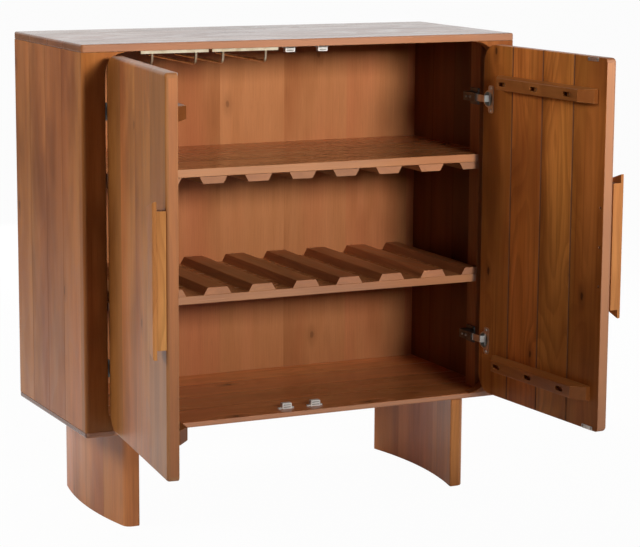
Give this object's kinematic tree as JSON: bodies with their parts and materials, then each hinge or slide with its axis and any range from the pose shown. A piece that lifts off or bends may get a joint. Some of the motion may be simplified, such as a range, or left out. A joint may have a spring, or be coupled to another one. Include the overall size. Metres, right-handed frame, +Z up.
{
  "type": "buffet cabinet",
  "caption": "Free-standing bar buffet cabinet in stained pine with planked hinged doors, slatted bottle shelves, wire stemware racks and bowed slab legs.",
  "frame": {"origin": "on the floor, in the middle of the footprint that the cabinet takes up with its doors open as stored", "axes": "+Z up, +Y towards the back of the cabinet, +X to the right seen from the front"},
  "size_m": [1.0268, 0.8776, 1.016],
  "materials": {
    "slab_wood": "stained pine, satin lacquer",
    "frame_wood": "stained pine, satin lacquer",
    "inside_wood": "stained pine boards, satin lacquer",
    "shelf_wood": "stained pine, satin lacquer",
    "leg_wood": "stained pine, satin lacquer",
    "door_wood": "stained knotty pine planks, satin lacquer",
    "handle_wood": "lighter orange pine, satin lacquer",
    "rack_brass": "satin brass",
    "hinge_steel": "nickel-plated",
    "catch_plastic": "off-white"
  },
  "bodies": {
    "carcass": {"top_panel": "slab_wood", "bottom_panel": "slab_wood", "left_side_panel": "frame_wood", "right_side_panel": "frame_wood", "left_stile": "frame_wood", "right_stile": "frame_wood", "left_post": "inside_wood", "right_post": "inside_wood", "back_panel": "inside_wood", "upper_shelf": "shelf_wood", "lower_shelf": "shelf_wood", "upper_slat_1": "shelf_wood", "upper_slat_2": "shelf_wood", "upper_slat_3": "shelf_wood", "upper_slat_4": "shelf_wood", "upper_slat_5": "shelf_wood", "upper_slat_6": "shelf_wood", "upper_slat_7": "shelf_wood", "upper_slat_8": "shelf_wood", "upper_slat_9": "shelf_wood", "lower_slat_1": "shelf_wood", "lower_slat_2": "shelf_wood", "lower_slat_3": "shelf_wood", "lower_slat_4": "shelf_wood", "lower_slat_5": "shelf_wood", "lower_slat_6": "shelf_wood", "lower_slat_7": "shelf_wood", "lower_slat_8": "shelf_wood", "lower_slat_9": "shelf_wood", "left_leg": "leg_wood", "right_leg": "leg_wood", "inner_stemware_rack": "rack_brass", "outer_stemware_rack": "rack_brass", "top_left_catch": "catch_plastic", "top_right_catch": "catch_plastic", "bottom_left_catch": "catch_plastic", "bottom_right_catch": "catch_plastic", "left_upper_hinge_arm": "hinge_steel", "left_lower_hinge_arm": "hinge_steel", "right_upper_hinge_arm": "hinge_steel", "right_lower_hinge_arm": "hinge_steel"},
    "left_door": {"left_door_panel": "door_wood", "left_upper_batten": "door_wood", "left_lower_batten": "door_wood", "left_handle_grip": "handle_wood", "left_handle_spacer": "handle_wood", "left_upper_hinge_cup": "hinge_steel", "left_lower_hinge_cup": "hinge_steel", "left_upper_strike": "hinge_steel", "left_lower_strike": "hinge_steel"},
    "right_door": {"right_door_panel": "door_wood", "right_upper_batten": "door_wood", "right_lower_batten": "door_wood", "right_handle_grip": "handle_wood", "right_handle_spacer": "handle_wood", "right_upper_hinge_cup": "hinge_steel", "right_lower_hinge_cup": "hinge_steel", "right_upper_strike": "hinge_steel", "right_lower_strike": "hinge_steel"}
  },
  "joints": [
    {"name": "left_door_hinge", "type": "hinge", "parent": "carcass", "child": "left_door", "pos_m": [-0.43698, 0.00877, 0.6095], "axis": [0, 0, -1], "range_deg": [-96.5, 13.5]},
    {"name": "right_door_hinge", "type": "hinge", "parent": "carcass", "child": "right_door", "pos_m": [0.46002, 0.00877, 0.6095], "axis": [0, 0, 1], "range_deg": [-93.5, 16.5]}
  ]
}
